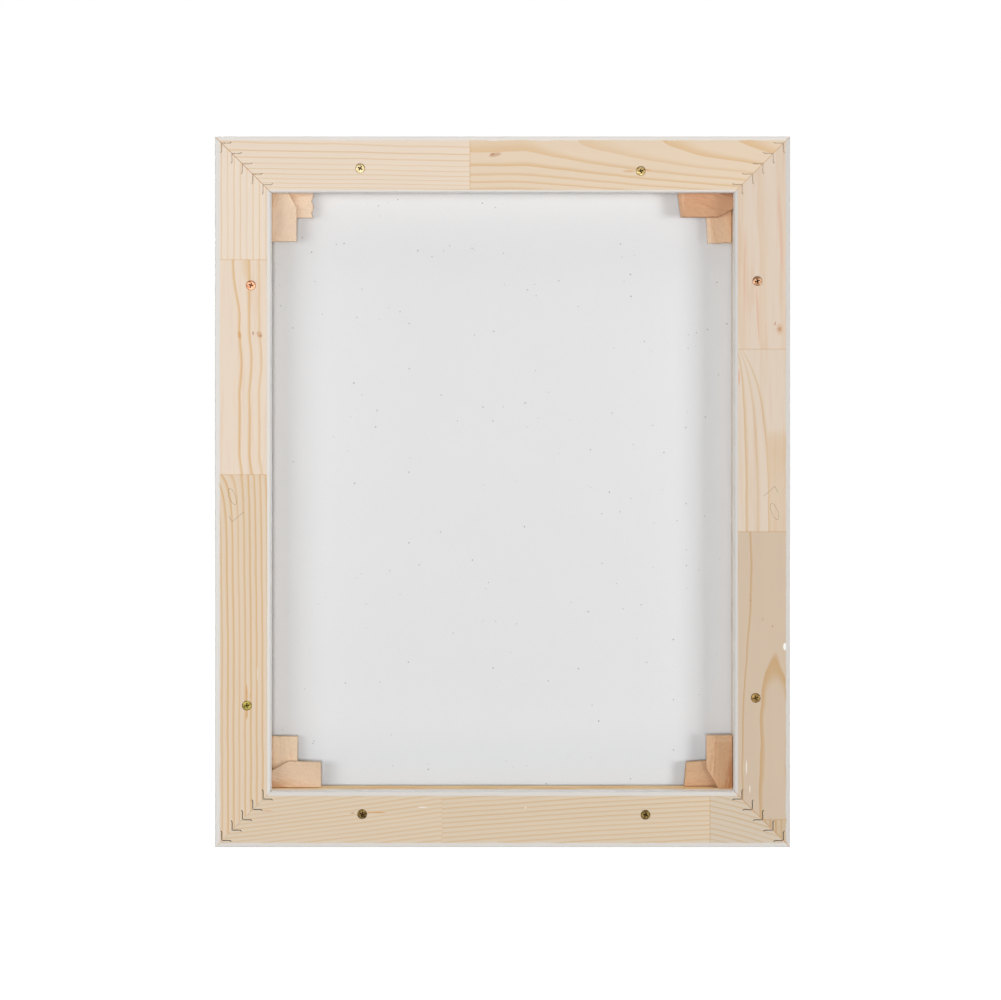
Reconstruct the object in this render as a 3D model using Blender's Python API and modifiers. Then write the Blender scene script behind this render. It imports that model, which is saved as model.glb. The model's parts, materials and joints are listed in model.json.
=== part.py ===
"""A 40 x 50 cm stretched canvas on a keyed stretcher, screwed from behind into a floater frame.

Metres, +Z up. The painted front faces -Y and the raw back faces +Y. The origin is the middle of the
bottom edge, so the part stands on its bottom rail. Left and right are as seen from behind: left is +X.
"""

import math

import bmesh
import bpy
from mathutils import Matrix, Vector

MM = 0.001

# Clearances between separate solids
GAP = 0.3 * MM
FASTENER_GAP = 0.2 * MM

# Floater frame: L-section rails, mitred at the corners
FRAME_WIDTH = 424 * MM
FRAME_HEIGHT = 524 * MM
FRAME_DEPTH = 42 * MM
FLANGE_WIDTH = 41 * MM
FLANGE_THICKNESS = 9.5 * MM
WALL_THICKNESS = 7 * MM
BACK = FRAME_DEPTH / 2

# Canvas: the outer size of the cloth, which sits a little high and to the left in the frame
CANVAS_WIDTH = 400 * MM
CANVAS_HEIGHT = 500 * MM
CLOTH_THICKNESS = 0.5 * MM
CANVAS_SHIFT_X = 0.6 * MM
CANVAS_SHIFT_Z = 1.2 * MM
FLAP_WIDTH = 17 * MM

# Stretcher bars
BAR_WIDTH = 27 * MM
BAR_THICKNESS = 19 * MM
BAR_INNER_WALL = 13.4 * MM
CLOTH_LAYER = CLOTH_THICKNESS + GAP
BARS_WIDTH = CANVAS_WIDTH - 2 * CLOTH_LAYER
BARS_HEIGHT = CANVAS_HEIGHT - 2 * CLOTH_LAYER
BARS_BACK = BACK - FLANGE_THICKNESS - GAP - CLOTH_LAYER
BARS_FRONT = BARS_BACK - BAR_THICKNESS

# Keys: flat wedges in two layers, the back one nearer the viewer from behind
KEY_THICKNESS = 4.5 * MM
KEY_WIDTH = 19.3 * MM
KEY_NOSE = 27 * MM
KEY_ANGLE = math.radians(29)
LAYER_TOP = {"back": 4.2 * MM, "front": 9.3 * MM}
SLOT_MOUTH = 14.2 * MM
SLOT_DEPTH = 18.5 * MM

# Each key's corner and layer, the bar it lies along, its length past the corner and its straight part
KEYS = [
    ("top_left", "back", "left", 37.7 * MM, 25.1 * MM),
    ("top_left", "front", "top", 31.7 * MM, 18.9 * MM),
    ("top_right", "back", "top", 41.3 * MM, 30.4 * MM),
    ("top_right", "front", "right", 39.2 * MM, 26.2 * MM),
    ("bottom_right", "back", "right", 38.9 * MM, 24.3 * MM),
    ("bottom_right", "front", "bottom", 36.0 * MM, 23.0 * MM),
    ("bottom_left", "back", "bottom", 37.6 * MM, 24.2 * MM),
    ("bottom_left", "front", "left", 37.4 * MM, 24.4 * MM),
]

# Screws: 3.5 x 25 mm countersunk, each with its rail and its place along and up the back
SCREW_HEAD_RADIUS = 3.5 * MM
SCREW_SHANK_RADIUS = 1.75 * MM
SCREW_RIM = 0.35 * MM
SCREW_LENGTH = 25 * MM
SCREW_POINT = 5 * MM
SCREW_SUNK = 0.15 * MM
SCREW_SIDES = 24
RECESS_SPAN = 3.8 * MM
RECESS_WIDTH = 0.85 * MM
RECESS_DEPTH = 1.7 * MM
SCREWS = [
    ("screw_top_left", "top", 104.9 * MM, 500.6 * MM),
    ("screw_top_right", "top", -102.0 * MM, 498.6 * MM),
    ("screw_left_upper", "left", 185.5 * MM, 414.3 * MM),
    ("screw_left_lower", "left", 188.5 * MM, 104.4 * MM),
    ("screw_right_upper", "right", -187.9 * MM, 417.5 * MM),
    ("screw_right_lower", "right", -186.7 * MM, 110.1 * MM),
    ("screw_bottom_left", "bottom", 103.5 * MM, 24.4 * MM),
    ("screw_bottom_right", "bottom", -105.4 * MM, 23.9 * MM),
]

# V-nails: bent steel strip, driven across each mitre from the back, with the wood tight about them
NAIL_LEG = 7 * MM
NAIL_CURL = 0.9 * MM
NAIL_STRIP = 0.35 * MM
NAIL_GAP = 0.15 * MM
NAIL_LENGTH = 7 * MM
NAIL_SUNK = 0.2 * MM
NAIL_FIRST = 5.0 * MM
NAIL_PITCH = 7.63 * MM
NAILS_PER_CORNER = 5

BEYOND = 2 * MM
FLAT = math.radians(0.5)
CORNERS = {"top_left": (1, 1), "top_right": (-1, 1), "bottom_right": (-1, -1), "bottom_left": (1, -1)}
# Each side's inward direction; its blank runs along the other plan direction
SIDES = {"top": (0, -1), "bottom": (0, 1), "left": (-1, 0), "right": (1, 0)}


def collection(name, shown):
    made = bpy.data.collections.new(name)
    made.hide_render = not shown
    bpy.context.scene.collection.children.link(made)
    return made


def material(name, colour, roughness, metallic=0.0):
    made = bpy.data.materials.new(name)
    made.use_nodes = True
    shader = made.node_tree.nodes["Principled BSDF"]
    shader.inputs["Base Color"].default_value = (*colour, 1)
    shader.inputs["Roughness"].default_value = roughness
    shader.inputs["Metallic"].default_value = metallic
    return made


def keep(obj, name, finish):
    """Makes a solid a sub-part of the object, with its name and material."""
    obj.name = obj.data.name = name
    obj.data.materials.append(finish)
    parts.objects.link(obj)
    return obj


def cutter(obj, name):
    obj.name = obj.data.name = name
    obj.hide_render = True
    obj.display_type = "WIRE"
    cutters.objects.link(obj)
    return obj


def cut(obj, *tools):
    for tool in tools:
        boolean = obj.modifiers.new(tool.name, "BOOLEAN")
        boolean.operation = "DIFFERENCE"
        boolean.solver = "EXACT"
        boolean.object = tool


def rounded(corners, segments=3):
    """An outline from (x, y, radius) corners, each turned by an arc of its radius."""
    points = []
    for i, (x, y, radius) in enumerate(corners):
        corner = Vector((x, y))
        before = (Vector(corners[i - 1][:2]) - corner).normalized()
        after = (Vector(corners[(i + 1) % len(corners)][:2]) - corner).normalized()
        if radius == 0:
            points.append(corner)
            continue
        half = before.angle(after) / 2
        centre = corner + (before + after).normalized() * radius / math.sin(half)
        start = corner + before * radius / math.tan(half) - centre
        turn = (corner + after * radius / math.tan(half) - centre).angle_signed(start)
        for step in range(segments + 1):
            points.append(centre + Matrix.Rotation(turn * step / segments, 2) @ start)
    return points


def prism(outline, length, origin, x_axis, y_axis):
    """A flat outline extruded both ways from its origin, as a welded mesh facing out."""
    curve = bpy.data.curves.new("outline", "CURVE")
    curve.dimensions = "2D"
    curve.fill_mode = "BOTH"
    curve.extrude = length / 2
    spline = curve.splines.new("POLY")
    spline.points.add(len(outline) - 1)
    spline.use_cyclic_u = True
    for point, (x, y) in zip(spline.points, outline):
        point.co = (x, y, 0, 1)
    drawn = bpy.data.objects.new("outline", curve)
    bpy.context.scene.collection.objects.link(drawn)
    bpy.context.view_layer.update()
    mesh = bpy.data.meshes.new_from_object(drawn.evaluated_get(bpy.context.evaluated_depsgraph_get()))
    bpy.data.objects.remove(drawn)
    bpy.data.curves.remove(curve)
    axes = Matrix((x_axis, y_axis, x_axis.cross(y_axis))).transposed().to_4x4()
    mesh.transform(Matrix.Translation(origin) @ axes)
    weld(mesh)
    return bpy.data.objects.new("solid", mesh)


def weld(mesh):
    bm = bmesh.new()
    bm.from_mesh(mesh)
    bmesh.ops.remove_doubles(bm, verts=bm.verts, dist=0.001 * MM)
    bmesh.ops.recalc_face_normals(bm, faces=bm.faces)
    bmesh.ops.dissolve_limit(bm, angle_limit=FLAT, verts=bm.verts, edges=bm.edges)
    bm.to_mesh(mesh)
    bm.free()


def plan_prism(outline, front, back):
    """An outline of (x, z) points in the canvas plane, extruded from front to back along Y."""
    middle = Vector((0, (front + back) / 2, 0))
    return prism(outline, back - front, middle, Vector((1, 0, 0)), Vector((0, 0, 1)))


def box(low, high):
    bm = bmesh.new()
    middle, size = (Vector(low) + Vector(high)) / 2, Vector(high) - Vector(low)
    bmesh.ops.create_cube(bm, size=1, matrix=Matrix.Translation(middle) @ Matrix.Diagonal((*size, 1)))
    mesh = bpy.data.meshes.new("box")
    bm.to_mesh(mesh)
    bm.free()
    return bpy.data.objects.new("box", mesh)


def turned(profile, place):
    """A profile of (radius, height) points, top to bottom, turned about a Y axis through place."""
    mesh = bpy.data.meshes.new("profile")
    points = [(radius, 0, height) for radius, height in profile]
    mesh.from_pydata(points, [(i, i + 1) for i in range(len(points) - 1)], [])
    obj = bpy.data.objects.new("turned", mesh)
    obj.location = place
    obj.rotation_euler = (math.radians(-90), 0, 0)
    screw = obj.modifiers.new("turn", "SCREW")
    screw.steps = screw.render_steps = SCREW_SIDES
    screw.use_merge_vertices = True
    screw.merge_threshold = 0.001 * MM
    return obj


def blank(side, section, width, height, middle_x, middle_z, back):
    """A bar or rail with its section's x running inward and its y running from back to front."""
    inward = Vector((SIDES[side][0], 0, SIDES[side][1]))
    outer = Vector((middle_x, back, middle_z)) - Vector((inward.x * width / 2, 0, inward.z * height / 2))
    length = width if inward.x == 0 else height
    return prism(section, length, outer, inward, Vector((0, -1, 0)))


def at_corner(corner, points, width, height, middle_x, middle_z):
    """Turns (a, b) points, inward from a corner's side edge and its top or bottom edge, to (x, z)."""
    sign_x, sign_z = CORNERS[corner]
    return [
        (middle_x + sign_x * (width / 2 - a), middle_z + sign_z * (height / 2 - b)) for a, b in points
    ]


def swapped(points):
    return [(b, a) for a, b in points]


def mitre_waste(side, reach):
    """The corner triangle that a mitre takes off a side's blank, as (a, b) points."""
    slack = GAP / 2 * math.sqrt(2)
    triangle = [(-BEYOND, -BEYOND - slack), (reach, reach - slack), (-BEYOND, reach - slack)]
    return triangle if side in ("top", "bottom") else swapped(triangle)


def corners_of(side):
    return [corner for corner in CORNERS if side in corner.split("_")]


def ribbon(path, width, extra=0.0):
    """The outline of a strip bent along a path, each end made longer by extra."""
    path = [Vector(point) for point in path]
    path[0] = path[0] + (path[0] - path[1]).normalized() * extra
    path[-1] = path[-1] + (path[-1] - path[-2]).normalized() * extra
    left, right = [], []
    for i, point in enumerate(path):
        before = (point - path[i - 1]).normalized() if i > 0 else None
        after = (path[i + 1] - point).normalized() if i < len(path) - 1 else None
        along = ((before or after) + (after or before)).normalized()
        across = Vector((-along.y, along.x)) * width / 2 / along.dot(before or after)
        left.append(point + across)
        right.append(point - across)
    return left + right[::-1]


def make_nails():
    """Twenty V-nails, and the slots that they have cut, by corner."""
    slots = {}
    for corner in CORNERS:
        slots[corner] = []
        for i in range(NAILS_PER_CORNER):
            apex = NAIL_FIRST + i * NAIL_PITCH
            straight, tip = apex + NAIL_LEG - NAIL_CURL, apex + NAIL_LEG
            leg = [(tip, apex - NAIL_CURL * 0.8), (straight, apex)]
            path = leg + [(apex, apex)] + swapped(leg)[::-1]
            place = (FRAME_WIDTH, FRAME_HEIGHT, 0, FRAME_HEIGHT / 2)
            back = BACK - NAIL_SUNK
            strip = at_corner(corner, ribbon(path, NAIL_STRIP), *place)
            keep(plan_prism(strip, back - NAIL_LENGTH, back), f"v_nail_{corner}_{i + 1}", steel)
            groove = at_corner(corner, ribbon(path, NAIL_STRIP + 2 * NAIL_GAP, NAIL_GAP), *place)
            slot = plan_prism(groove, back - NAIL_LENGTH - NAIL_GAP, BACK + BEYOND)
            slots[corner].append(cutter(slot, f"nail_slot_{corner}_{i + 1}"))
    return slots


def screw_profile(grow, above):
    """A countersunk screw's turned profile, grown by a clearance, with its top raised by above."""
    head, shank = SCREW_HEAD_RADIUS + grow, SCREW_SHANK_RADIUS + grow
    cone = SCREW_RIM + SCREW_HEAD_RADIUS - SCREW_SHANK_RADIUS
    return [
        (0, above),
        (head, above),
        (head, -SCREW_RIM),
        (shank, -cone),
        (shank, SCREW_POINT - SCREW_LENGTH),
        (0, -SCREW_LENGTH - grow),
    ]


def make_screws():
    """Eight screws, and the countersunk holes that they fill, by side."""
    holes = {side: [] for side in SIDES}
    for name, side, x, z in SCREWS:
        place = Vector((x, BACK - SCREW_SUNK, z))
        screw = keep(turned(screw_profile(0, 0), place), name, brass)
        for turn, (wide, tall) in (("across", (1, 0)), ("up", (0, 1))):
            half_x = (RECESS_SPAN if wide else RECESS_WIDTH) / 2
            half_z = (RECESS_SPAN if tall else RECESS_WIDTH) / 2
            low = place - Vector((half_x, RECESS_DEPTH, half_z))
            high = place + Vector((half_x, BEYOND, half_z))
            cut(screw, cutter(box(low, high), f"{name}_recess_{turn}"))
        hole = turned(screw_profile(FASTENER_GAP, BEYOND), place)
        holes[side].append(cutter(hole, f"{name}_hole"))
    return holes


def make_rails(nail_slots, screw_holes):
    """Four floater rails: a back flange and an outer wall, mitred, slotted for nails, bored for screws."""
    section = rounded([
        (0, 0, 0.8 * MM),
        (0, FRAME_DEPTH, 1.0 * MM),
        (WALL_THICKNESS, FRAME_DEPTH, 0.8 * MM),
        (WALL_THICKNESS, FLANGE_THICKNESS, 0),
        (FLANGE_WIDTH, FLANGE_THICKNESS, 0.5 * MM),
        (FLANGE_WIDTH, 0, 1.0 * MM),
    ])
    place = (FRAME_WIDTH, FRAME_HEIGHT, 0, FRAME_HEIGHT / 2)
    for side in SIDES:
        rail = keep(blank(side, section, *place, BACK), f"floater_rail_{side}", frame_pine)
        for corner in corners_of(side):
            waste = at_corner(corner, mitre_waste(side, FLANGE_WIDTH + BEYOND), *place)
            mitre = plan_prism(waste, -BACK - BEYOND, BACK + BEYOND)
            cut(rail, cutter(mitre, f"rail_mitre_{side}_{corner}"), *nail_slots[corner])
        cut(rail, *screw_holes[side])


def key_slot(side):
    """The slot in a bar's end that takes its neighbour's tongue and a key, as (a, b) points."""
    tongue = BAR_WIDTH + GAP
    end = BAR_WIDTH - SLOT_DEPTH
    slope = math.tan(KEY_ANGLE)
    outline = [
        (-BEYOND, -BEYOND),
        (tongue, -BEYOND),
        (tongue, end),
        (tongue + SLOT_MOUTH - SLOT_DEPTH * slope, end),
        (tongue + SLOT_MOUTH + BEYOND * slope, BAR_WIDTH + BEYOND),
        (-BEYOND, BAR_WIDTH + BEYOND),
    ]
    return outline if side in ("top", "bottom") else swapped(outline)


def make_bars(screw_holes):
    """Four stretcher bars. At each corner one bar is slotted in the back layer, the other in the front."""
    section = rounded([
        (0, 0, 0.8 * MM),
        (0, BAR_THICKNESS, 1.5 * MM),
        (3.5 * MM, BAR_THICKNESS, 0.8 * MM),
        (6 * MM, BAR_THICKNESS - 2.4 * MM, 0),
        (BAR_WIDTH - 2 * MM, BAR_INNER_WALL + 2 * MM, 1.0 * MM),
        (BAR_WIDTH, BAR_INNER_WALL, 0.8 * MM),
        (BAR_WIDTH, 0, 0.8 * MM),
    ])
    place = (BARS_WIDTH, BARS_HEIGHT, CANVAS_SHIFT_X, FRAME_HEIGHT / 2 + CANVAS_SHIFT_Z)
    for side in SIDES:
        bar = keep(blank(side, section, *place, BARS_BACK), f"stretcher_bar_{side}", stretcher_pine)
        for corner in corners_of(side):
            lies_along = {key[1]: key[2] for key in KEYS if key[0] == corner}
            slotted = "front" if lies_along["front"] != side else "back"
            tongue = "back" if slotted == "front" else "front"
            name = f"{side}_{corner}"
            waste = at_corner(corner, mitre_waste(side, BAR_WIDTH + BEYOND), *place)
            tongue_back = BARS_BACK - LAYER_TOP[tongue]
            behind = plan_prism(waste, tongue_back, BARS_BACK + BEYOND)
            before = plan_prism(waste, BARS_FRONT - BEYOND, tongue_back - KEY_THICKNESS)
            slot_back = BARS_BACK - LAYER_TOP[slotted] + GAP
            slot_front = slot_back - KEY_THICKNESS - 2 * GAP
            slot = plan_prism(at_corner(corner, key_slot(side), *place), slot_front, slot_back)
            cut(bar, cutter(behind, f"bar_mitre_back_{name}"), cutter(before, f"bar_mitre_front_{name}"))
            cut(bar, cutter(slot, f"key_slot_{name}"))
        cut(bar, *screw_holes[side])


def make_keys():
    """Eight beech keys, each straight along one bar, with its slanted nose in the next bar's slot."""
    place = (BARS_WIDTH, BARS_HEIGHT, CANVAS_SHIFT_X, FRAME_HEIGHT / 2 + CANVAS_SHIFT_Z)
    near = BAR_WIDTH + GAP
    far = near + KEY_WIDTH
    nose_width = KEY_WIDTH - KEY_NOSE * math.tan(KEY_ANGLE)
    for corner, layer, side, reach, straight in KEYS:
        end = BAR_WIDTH + reach
        shoulder, tip = end - straight, end - straight - KEY_NOSE
        outline = rounded([
            (near, end, 0.6 * MM),
            (far, end, 0.8 * MM),
            (far, shoulder, 0),
            (near + nose_width, tip, 0.6 * MM),
            (near, tip, 0.6 * MM),
        ])
        if side in ("top", "bottom"):
            outline = swapped(outline)
        key_back = BARS_BACK - LAYER_TOP[layer]
        solid = plan_prism(at_corner(corner, outline, *place), key_back - KEY_THICKNESS, key_back)
        keep(solid, f"key_{corner}_{layer}", beech)


def make_cloth(screw_holes):
    """The canvas: one cloth over the front and sides, with its edge turned over the backs of the bars."""
    middle_z = FRAME_HEIGHT / 2 + CANVAS_SHIFT_Z
    half_x, half_z = CANVAS_WIDTH / 2, CANVAS_HEIGHT / 2
    front, back = BARS_FRONT - CLOTH_LAYER, BARS_BACK + CLOTH_LAYER

    def block(inset, low_y, high_y):
        low = (CANVAS_SHIFT_X - half_x + inset, low_y, middle_z - half_z + inset)
        high = (CANVAS_SHIFT_X + half_x - inset, high_y, middle_z + half_z - inset)
        return box(low, high)

    cloth = keep(block(0, front, back), "canvas_cloth", primed_cotton)
    inside = cutter(block(CLOTH_THICKNESS, front + CLOTH_THICKNESS, back - CLOTH_THICKNESS), "cloth_inside")
    opening = cutter(block(FLAP_WIDTH, BARS_BACK - BEYOND, back + BEYOND), "cloth_opening")
    cut(cloth, opening, inside, *[hole for side in SIDES for hole in screw_holes[side]])


for old in list(bpy.data.objects):
    bpy.data.objects.remove(old)

parts = collection("stretched_canvas_in_floater_frame", True)
cutters = collection("cutters", False)

frame_pine = material("raw and white-painted pine", (0.78, 0.66, 0.52), 0.75)
stretcher_pine = material("stretcher pine", (0.74, 0.56, 0.36), 0.7)
beech = material("beech", (0.66, 0.45, 0.27), 0.6)
primed_cotton = material("white primed cotton", (0.78, 0.78, 0.77), 0.9)
brass = material("yellow zinc", (0.72, 0.55, 0.25), 0.35, 1.0)
steel = material("V-nail steel", (0.35, 0.33, 0.31), 0.5, 1.0)

nail_slots = make_nails()
screw_holes = make_screws()
make_rails(nail_slots, screw_holes)
make_bars(screw_holes)
make_keys()
make_cloth(screw_holes)
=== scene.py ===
"""The looks of a 40 x 50 cm stretched canvas, screwed from behind into a white floater frame.

The solid model fixes the places: metres, +Z up, the painted front towards -Y and the raw back towards
+Y. Left and right are as seen from behind, so left is +X.
"""

import json
import math
import random
from collections import namedtuple

import bmesh
import bpy
from mathutils import Matrix, Vector, noise


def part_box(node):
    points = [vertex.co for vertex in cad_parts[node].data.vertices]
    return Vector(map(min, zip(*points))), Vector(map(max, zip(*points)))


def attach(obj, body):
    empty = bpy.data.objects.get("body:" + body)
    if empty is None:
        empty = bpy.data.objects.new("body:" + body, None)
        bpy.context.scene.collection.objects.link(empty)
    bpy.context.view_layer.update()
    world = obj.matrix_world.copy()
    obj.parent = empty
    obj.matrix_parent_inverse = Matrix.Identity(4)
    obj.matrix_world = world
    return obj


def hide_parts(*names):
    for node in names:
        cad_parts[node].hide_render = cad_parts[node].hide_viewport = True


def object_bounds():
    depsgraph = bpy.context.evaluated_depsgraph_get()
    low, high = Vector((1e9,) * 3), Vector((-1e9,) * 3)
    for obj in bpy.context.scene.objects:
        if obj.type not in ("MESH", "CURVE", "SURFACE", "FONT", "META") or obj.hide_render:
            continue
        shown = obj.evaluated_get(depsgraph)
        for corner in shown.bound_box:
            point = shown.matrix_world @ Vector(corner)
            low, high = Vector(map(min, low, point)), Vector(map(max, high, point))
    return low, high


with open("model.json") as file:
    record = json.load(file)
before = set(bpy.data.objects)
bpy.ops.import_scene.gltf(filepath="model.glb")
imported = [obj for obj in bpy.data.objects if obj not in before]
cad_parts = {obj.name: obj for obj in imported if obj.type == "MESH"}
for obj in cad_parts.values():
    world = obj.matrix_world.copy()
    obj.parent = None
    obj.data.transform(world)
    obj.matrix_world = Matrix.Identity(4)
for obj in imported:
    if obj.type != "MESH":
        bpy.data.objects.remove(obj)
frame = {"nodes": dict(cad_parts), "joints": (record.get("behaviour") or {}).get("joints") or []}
cad_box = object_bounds()

# ---- Stretcher bars -------------------------------------------------------------------------------
# Four planed pine bars, slotted together at the corners, with their fronts bevelled clear of the cloth.
# From behind only their inner walls show, as a thin strip of wood under the frame's flange.

MM = 0.001
nodes = frame["nodes"]


class Shade:
    """A socket of a material, so that what feeds it can be written as a sum."""

    def __init__(self, tree, socket=None):
        self.tree = tree
        self.socket = socket

    def node(self, kind, settings, inputs, output=0):
        made = self.tree.nodes.new("ShaderNode" + kind)
        for name, value in settings.items():
            setattr(made, name, value)
        for name, value in inputs.items():
            if isinstance(value, Shade):
                self.tree.links.new(value.socket, made.inputs[name])
            else:
                made.inputs[name].default_value = value
        return Shade(self.tree, made.outputs[output])

    def math(self, operation, *terms):
        return self.node("Math", {"operation": operation}, dict(enumerate(terms)))

    def __add__(self, other):
        return self.math("ADD", self, other)

    __radd__ = __add__

    def __sub__(self, other):
        return self.math("SUBTRACT", self, other)

    def __rsub__(self, other):
        return self.math("SUBTRACT", other, self)

    def __mul__(self, other):
        return self.math("MULTIPLY", self, other)

    __rmul__ = __mul__

    def __truediv__(self, other):
        return self.math("DIVIDE", self, other)

    def __gt__(self, other):
        return self.math("GREATER_THAN", self, other)

    def __abs__(self):
        return self.math("ABSOLUTE", self)

    def rise(self, low, high):
        """0 at low, 1 at high, and smooth between. It falls where low is the greater."""
        settings = {"interpolation_type": "SMOOTHSTEP"}
        return self.node("MapRange", settings, {"Value": self, "From Min": low, "From Max": high})

    def swell(self, middle, reach):
        """A smooth bump, 1 at the middle and 0 beyond its reach on either side."""
        return abs(self - middle).rise(reach, 0)

    def ease(self, low, high, rounding=12.0):
        """The value itself, held between low and high with rounded turns."""
        held = self.math("SMOOTH_MAX", self, low, rounding)
        return self.math("SMOOTH_MIN", held, high, rounding)

    def power(self, rate):
        """The exponential of the value times a rate, up to 1."""
        return self.math("EXPONENT", self * rate).lesser(1.0)

    def lesser(self, other):
        return self.math("MINIMUM", self, other)

    def greater(self, other):
        return self.math("MAXIMUM", self, other)

    def vector(self, x, y, z):
        return self.node("CombineXYZ", {}, {0: x, 1: y, 2: z})

    def noise(self, place, scale, detail=2.0, roughness=0.5):
        inputs = {"Vector": place, "Scale": scale, "Detail": detail, "Roughness": roughness}
        return self.node("TexNoise", {}, inputs)

    def mix(self, mask, under, over):
        return self.node("Mix", {"data_type": "RGBA"}, {0: mask, 6: under, 7: over}, 2)

    def filter(self, mask, under, through):
        settings = {"data_type": "RGBA", "blend_type": "MULTIPLY"}
        return self.node("Mix", settings, {0: mask, 6: under, 7: through}, 2)

    def bump(self, height, distance):
        return self.node("Bump", {}, {"Height": height, "Distance": distance, "Strength": 1.0})


def tone(red, green, blue):
    """A colour from a chart, 0 to 255 a channel, as the linear value that a shader takes."""
    def linear(value):
        value /= 255
        return value / 12.92 if value <= 0.04045 else ((value + 0.055) / 1.055) ** 2.4

    return (linear(red), linear(green), linear(blue), 1.0)


def new_finish(name):
    """A material, a way to add nodes to it, and its position on the object in millimetres."""
    finish = bpy.data.materials.new(name)
    finish.use_nodes = True
    shade = Shade(finish.node_tree)
    place = shade.node("TexCoord", {}, {}, 3)
    axes = [shade.node("SeparateXYZ", {}, {0: place}, axis) / MM for axis in range(3)]
    return finish, shade, axes


def surface(finish, **inputs):
    """Sets or links the sockets of a finish's shader, named with underscores for spaces."""
    shader = finish.node_tree.nodes["Principled BSDF"]
    for name, value in inputs.items():
        socket = shader.inputs[name.replace("_", " ")]
        if isinstance(value, Shade):
            finish.node_tree.links.new(value.socket, socket)
        else:
            socket.default_value = value


def wear(obj, finish):
    obj.data.materials.clear()
    obj.data.materials.append(finish)


# Two tones of a bar's wood and how dark its late wood is. Only the bottom bar has gone yellow. Its
# tones are also painted lighter, as painted light on its upward-facing inner wall.
YELLOWED_AND_PAINTED_LIGHT = {"bottom": ((250, 224, 180), (248, 206, 148), 0.9)}
FRESH = ((240, 228, 212), (236, 220, 196), 0.4)
BAR_RING = 3.1

for side in ("top", "bottom", "left", "right"):
    finish, shade, (x, y, z) = new_finish(f"stretcher bar {side}, planed pine")
    along, height = (x, z) if side in ("top", "bottom") else (z, x)
    pale, warm, late_depth = YELLOWED_AND_PAINTED_LIGHT.get(side, FRESH)
    sway = shade.noise(shade.vector(along * 0.015, 0, len(side)), 1.0, 2.0) * 9
    count = (y + sway + height * 0.3) / BAR_RING
    phase = shade.math("FRACT", count)
    late = phase.rise(0.45, 0.9) * phase.rise(1.0, 0.93)
    fibre = shade.noise(shade.vector(along * 0.06, y * 3, height * 3), 1.0, 3.0)
    patch = shade.noise(shade.vector(along * 0.03, y * 0.2, height * 0.2), 1.0, 2.0)
    wood = shade.mix(patch.rise(0.35, 0.7), tone(*pale), tone(*warm))
    wood = shade.filter(late * late_depth, wood, (0.90, 0.72, 0.50, 1.0))
    surface(
        finish,
        Base_Color=shade.mix(fibre.rise(0.35, 0.8) * 0.2, wood, tone(214, 164, 112)),
        Roughness=fibre * 0.15 + 0.62,
        Normal=shade.bump(fibre - late * 0.3, 0.1 * MM),
    )
    wear(nodes[f"stretcher_bar_{side}"], finish)

# ---- Canvas ---------------------------------------------------------------------------------------
# Plain-woven cotton, primed white on its outer side and raw behind. It is drawn over the bars' fronts
# and sides and its edge is turned on to their backs, with a pleat folded into each corner.

# The cloth's thickness, the width of its turned edge, and how round it goes over an edge of a bar.
CLOTH = 0.5 * MM
FLAP = 17 * MM
EDGE_TURN = 1.6 * MM
cloth_low, cloth_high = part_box("canvas_cloth")
cloth_centre = (cloth_low + cloth_high) / 2
half_width = (cloth_high.x - cloth_low.x - CLOTH) / 2
half_height = (cloth_high.z - cloth_low.z - CLOTH) / 2
front_skin, back_skin = cloth_low.y + CLOTH / 2, cloth_high.y - CLOTH / 2


def new_piece(name, mesh, finish, body="root"):
    """A finished piece of one kind of material, which rides on a body."""
    piece = bpy.data.objects.new(name, mesh)
    bpy.context.scene.collection.objects.link(piece)
    wear(piece, finish)
    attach(piece, body)
    return piece


def mesh_from(bm, name, smooth_below=40):
    mesh = bpy.data.meshes.new(name)
    bmesh.ops.recalc_face_normals(bm, faces=bm.faces)
    bm.to_mesh(mesh)
    bm.free()
    mesh.shade_smooth()
    mesh.set_sharp_from_angle(angle=math.radians(smooth_below))
    return mesh


def turned_edge(first, second, centre_inset, centre_y):
    """Rings of (inset, y) round a quarter turn of the cloth, from one angle to another in degrees."""
    steps = 4
    rings = []
    for step in range(steps + 1):
        angle = math.radians(first + (second - first) * step / steps)
        inset = centre_inset - EDGE_TURN * math.cos(angle)
        rings.append((inset, centre_y - EDGE_TURN * math.sin(angle)))
    return rings


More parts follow.
